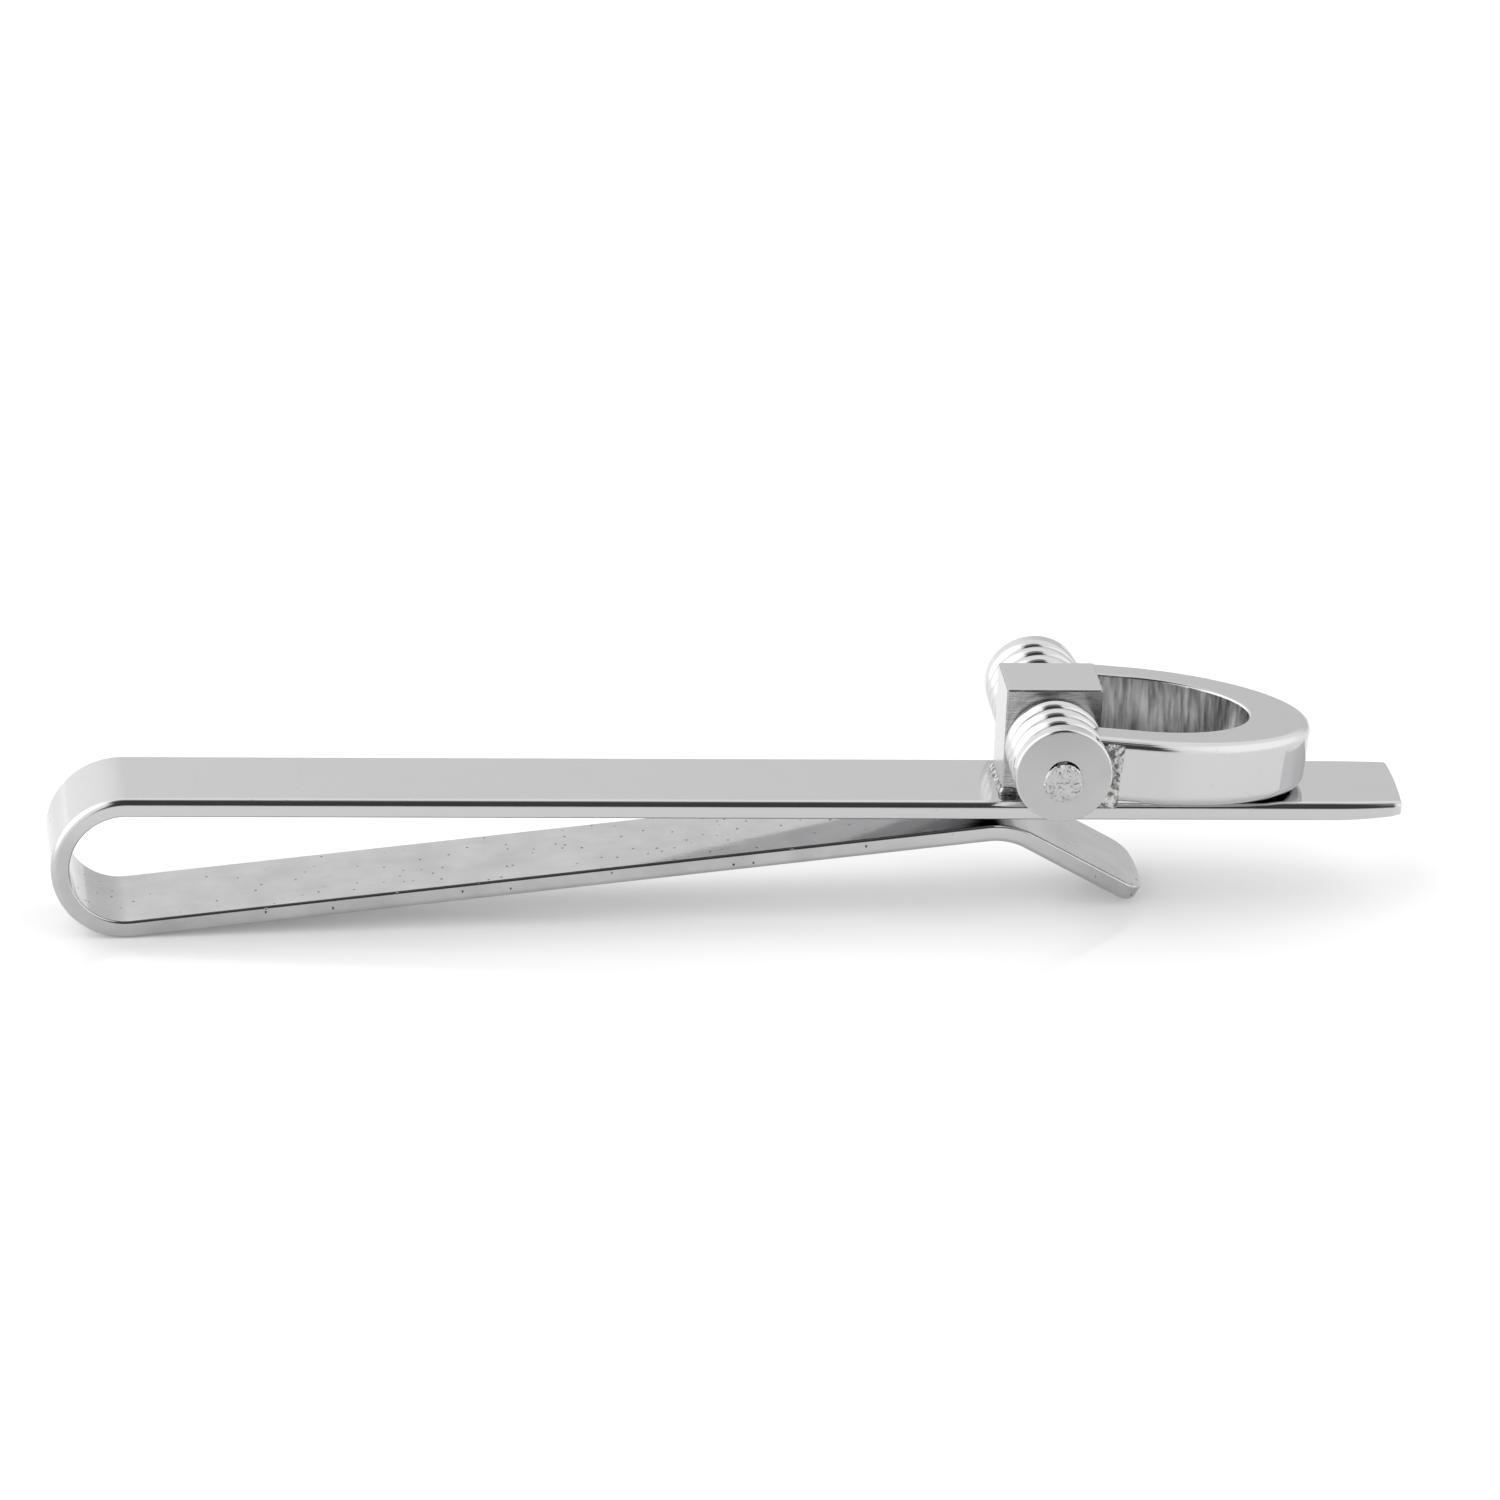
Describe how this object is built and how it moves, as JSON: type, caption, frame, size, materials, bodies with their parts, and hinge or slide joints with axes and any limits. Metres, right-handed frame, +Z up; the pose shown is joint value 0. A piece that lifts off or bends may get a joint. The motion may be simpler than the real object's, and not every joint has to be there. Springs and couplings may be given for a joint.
{
  "type": "tie clip",
  "caption": "Polished steel tie clip: a strip folded into a flat bar and a springy tongue, with a D-shackle that swings on a soldered block.",
  "frame": {"origin": "middle of the bounding box's bottom, on the surface that the clip lies on", "axes": "+X from the fold to the shackle end, +Y across the strip, +Z up from the surface; the bar leans 2.08 degrees nose-down from +X because the clip rests on its fold and the lip of its tongue"},
  "size_m": [0.06, 0.0116, 0.0102],
  "materials": {
    "polished_steel": "mirror-polished stainless steel with fine handling scratches",
    "brushed_steel": "fine satin-brushed stainless steel",
    "silver_solder": "rough silver solder, as run"
  },
  "bodies": {
    "clip": {"front_bar": "polished_steel", "hinge_block": "brushed_steel", "block_solder": "silver_solder"},
    "tongue": {"spring_tongue": "polished_steel"},
    "shackle": {"shackle_pin": "brushed_steel", "right_collar": "polished_steel", "left_collar": "polished_steel", "shackle_bow": "polished_steel", "right_leg_solder": "silver_solder", "left_leg_solder": "silver_solder"}
  },
  "joints": [
    {"name": "tongue_flex", "type": "hinge", "parent": "clip", "child": "tongue", "pos_m": [-0.02963, 0, 0.0034], "axis": [0, 1, 0], "range_deg": [-0.3, 9], "stiffness_Nm_per_rad": 1.1},
    {"name": "shackle_swing", "type": "hinge", "parent": "clip", "child": "shackle", "pos_m": [0.01435, 0, 0.00763], "axis": [0, -1, 0], "range_deg": [0, 189]}
  ]
}
